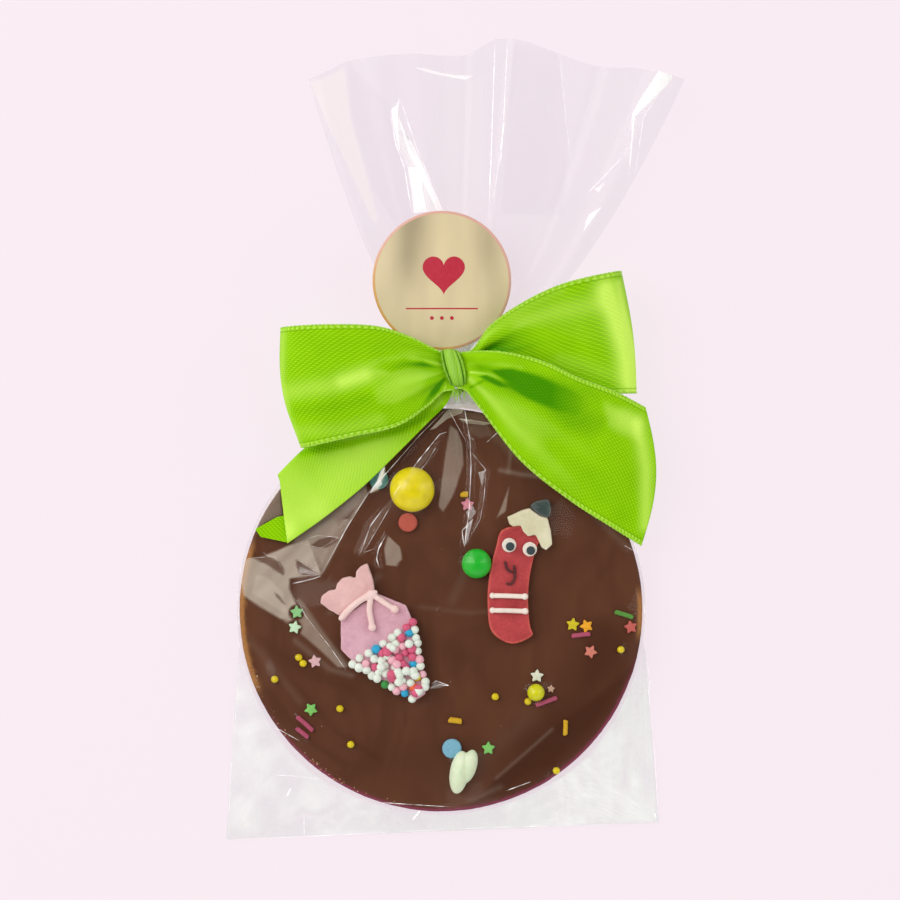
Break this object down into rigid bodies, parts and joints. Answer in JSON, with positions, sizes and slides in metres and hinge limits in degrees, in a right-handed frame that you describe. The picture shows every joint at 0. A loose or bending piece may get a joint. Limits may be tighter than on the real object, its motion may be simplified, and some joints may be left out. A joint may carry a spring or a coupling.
{
  "type": "decorated chocolate disc in a clear gift bag",
  "caption": "Round chocolate disc topped with a sugar school cone, a sugar pencil and sweets, sealed in a clear bag that is gathered and tied with a lime satin bow under a round paper label.",
  "frame": {"origin": "centre of the chocolate disc, on the surface that the bag lies on", "axes": "+Y towards the bag's open top, +X to the right of the shown side, +Z out of the shown side"},
  "size_m": [0.1476, 0.2578, 0.0226],
  "materials": {
    "film": "gloss",
    "chocolate": "satin",
    "satin_ribbon": "satin",
    "tie_wire": "satin",
    "label_paper": "matte",
    "mauve_sugar": "matte",
    "peach_sugar": "matte",
    "pale_sugar": "matte",
    "red_sugar": "matte",
    "cream_sugar": "satin",
    "grey_sugar": "matte",
    "white_sugar": "satin",
    "brown_sugar": "satin",
    "yellow_shell": "gloss",
    "green_shell": "gloss",
    "lime_shell": "gloss",
    "blue_press": "matte",
    "red_press": "matte",
    "teal_press": "matte",
    "mint_sugar": "satin"
  },
  "bodies": {
    "root": {"bag": "film", "chocolate_disc": "chocolate", "bow_loop_left": "satin_ribbon", "bow_loop_right": "satin_ribbon", "bow_tail_left": "satin_ribbon", "bow_tail_right": "satin_ribbon", "bow_knot": "satin_ribbon", "neck_tie": "tie_wire", "label": "label_paper", "cone_wrap": "mauve_sugar", "cone_ruff": "peach_sugar", "cone_tie": "pale_sugar", "pencil_body": "red_sugar", "pencil_wood": "cream_sugar", "pencil_lead": "grey_sugar", "pencil_pupil_left": "grey_sugar", "pencil_pupil_right": "grey_sugar", "pencil_eye_left": "white_sugar", "pencil_eye_right": "white_sugar", "pencil_stripe_upper": "white_sugar", "pencil_stripe_lower": "white_sugar", "pencil_nose": "brown_sugar", "pencil_smile": "brown_sugar", "yellow_dragee": "yellow_shell", "green_dragee": "green_shell", "lime_ball": "lime_shell", "blue_button": "blue_press", "red_button": "red_press", "teal_button": "teal_press", "mint_piece": "mint_sugar"}
  },
  "joints": []
}
